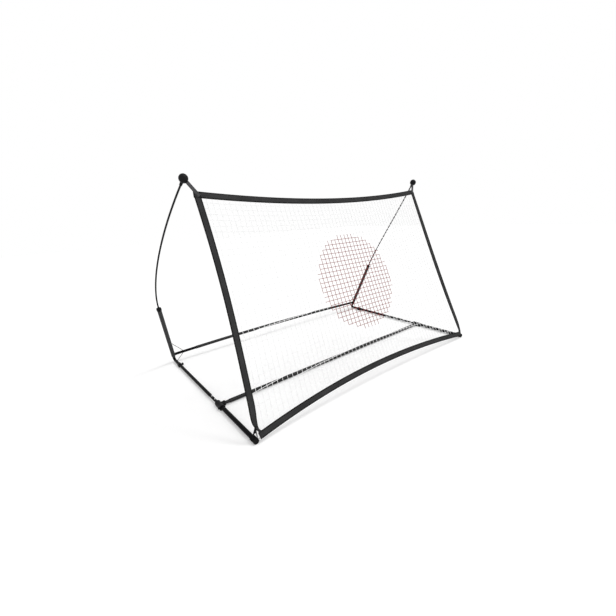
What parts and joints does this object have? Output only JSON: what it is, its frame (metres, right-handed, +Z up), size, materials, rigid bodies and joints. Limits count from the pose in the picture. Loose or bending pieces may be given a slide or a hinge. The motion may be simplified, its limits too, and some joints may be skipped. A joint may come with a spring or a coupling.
{
  "type": "ball rebounder net",
  "caption": "Free-standing ball rebounder: tubular floor frame, two bowed poles and a leaning square-mesh net with a webbing border and a round target.",
  "frame": {"origin": "middle of the footprint, on the floor", "axes": "+X along the net's width, towards the right as seen from the front, +Y from the net towards the sockets at the back, +Z up"},
  "size_m": [1.6688, 1.0024, 0.9925],
  "materials": {
    "powder_coat": "black powder coat, satin",
    "moulded_plastic": "black moulded plastic",
    "cap_rubber": "black rubber",
    "spring_steel": "bright spring steel",
    "fibreglass": "black fibreglass rod, smooth",
    "border_webbing": "charcoal woven webbing",
    "strap_webbing": "grey woven strap",
    "white_net": "white knotless cord",
    "red_net": "red knotless cord"
  },
  "bodies": {
    "frame": {"front_side_tube_left": "powder_coat", "front_side_tube_right": "powder_coat", "front_end_cap_left": "cap_rubber", "front_end_cap_right": "cap_rubber", "tee_left": "moulded_plastic", "tee_right": "moulded_plastic", "crossbar": "powder_coat", "neck_bush_left": "moulded_plastic", "neck_bush_right": "moulded_plastic", "neck_tube_left": "powder_coat", "neck_tube_right": "powder_coat", "clip_arm_left_1": "spring_steel", "clip_arm_left_2": "spring_steel", "clip_arm_right_1": "spring_steel", "clip_arm_right_2": "spring_steel", "button_clip_left": "spring_steel", "button_clip_right": "spring_steel", "rear_side_tube_left": "powder_coat", "rear_side_tube_right": "powder_coat", "elbow_left": "powder_coat", "elbow_right": "powder_coat", "lock_collar_left": "moulded_plastic", "lock_collar_right": "moulded_plastic", "pole_socket_left": "powder_coat", "pole_socket_right": "powder_coat", "socket_collar_left": "moulded_plastic", "socket_collar_right": "moulded_plastic", "socket_bush_left": "moulded_plastic", "socket_bush_right": "moulded_plastic", "rear_bar": "powder_coat", "rear_bar_stub_left": "powder_coat", "rear_bar_stub_right": "powder_coat", "corner_brace_left": "powder_coat", "corner_brace_right": "powder_coat", "pole_butt_left": "fibreglass", "pole_butt_right": "fibreglass", "net_field": "white_net", "net_target": "red_net", "border_top": "border_webbing", "border_bottom": "border_webbing", "border_left": "border_webbing", "border_right": "border_webbing", "bottom_strap_left": "strap_webbing", "bottom_strap_right": "strap_webbing"},
    "bow_left": {"pole_left": "fibreglass", "pole_ball_left": "moulded_plastic", "top_strap_left": "strap_webbing"},
    "bow_right": {"pole_right": "fibreglass", "pole_ball_right": "moulded_plastic", "top_strap_right": "strap_webbing"},
    "button_left_1": {"snap_button_left_1": "spring_steel"},
    "button_left_2": {"snap_button_left_2": "spring_steel"},
    "button_right_1": {"snap_button_right_1": "spring_steel"},
    "button_right_2": {"snap_button_right_2": "spring_steel"},
    "tee_knob_left": {"tee_screw_left": "moulded_plastic"},
    "tee_knob_right": {"tee_screw_right": "moulded_plastic"},
    "lock_knob_left": {"lock_screw_left": "moulded_plastic"},
    "lock_knob_right": {"lock_screw_right": "moulded_plastic"}
  },
  "joints": [
    {"name": "left_bow_flex", "type": "hinge", "parent": "frame", "child": "bow_left", "pos_m": [-0.82139, 0.35733, 0.379], "axis": [1, 0, 0], "range_deg": [-1.5, 2], "stiffness_Nm_per_rad": 120, "deforming": ["top_strap_left"]},
    {"name": "right_bow_flex", "type": "hinge", "parent": "frame", "child": "bow_right", "pos_m": [0.82139, 0.35733, 0.379], "axis": [1, 0, 0], "range_deg": [-1.5, 2], "stiffness_Nm_per_rad": 120, "deforming": ["top_strap_right"]},
    {"name": "left_button_1_press", "type": "slide", "parent": "frame", "child": "button_left_1", "axis": [0, 0, -1], "range_m": [0, 0.004], "stiffness_N_per_m": 300, "deforming": ["clip_arm_left_1"]},
    {"name": "left_button_2_press", "type": "slide", "parent": "frame", "child": "button_left_2", "axis": [0, 0, -1], "range_m": [0, 0.004], "stiffness_N_per_m": 300, "deforming": ["clip_arm_left_2"]},
    {"name": "right_button_1_press", "type": "slide", "parent": "frame", "child": "button_right_1", "axis": [0, 0, -1], "range_m": [0, 0.004], "stiffness_N_per_m": 300, "deforming": ["clip_arm_right_1"]},
    {"name": "right_button_2_press", "type": "slide", "parent": "frame", "child": "button_right_2", "axis": [0, 0, -1], "range_m": [0, 0.004], "stiffness_N_per_m": 300, "deforming": ["clip_arm_right_2"]},
    {"name": "left_tee_screw_turn", "type": "hinge", "parent": "frame", "child": "tee_knob_left", "pos_m": [-0.75249, -0.18379, 0.012], "axis": [-1, 0, 0], "range_deg": [0, 720]},
    {"name": "right_tee_screw_turn", "type": "hinge", "parent": "frame", "child": "tee_knob_right", "pos_m": [0.75249, -0.18379, 0.012], "axis": [1, 0, 0], "range_deg": [0, 720]},
    {"name": "left_lock_screw_turn", "type": "hinge", "parent": "frame", "child": "lock_knob_left", "pos_m": [-0.75722, 0.40221, 0.012], "axis": [1, 0, 0], "range_deg": [0, 720]},
    {"name": "right_lock_screw_turn", "type": "hinge", "parent": "frame", "child": "lock_knob_right", "pos_m": [0.75722, 0.40221, 0.012], "axis": [-1, 0, 0], "range_deg": [0, 720]}
  ],
  "couplings": [
    {"joint": "right_bow_flex", "follows": "left_bow_flex", "ratio": 1}
  ]
}
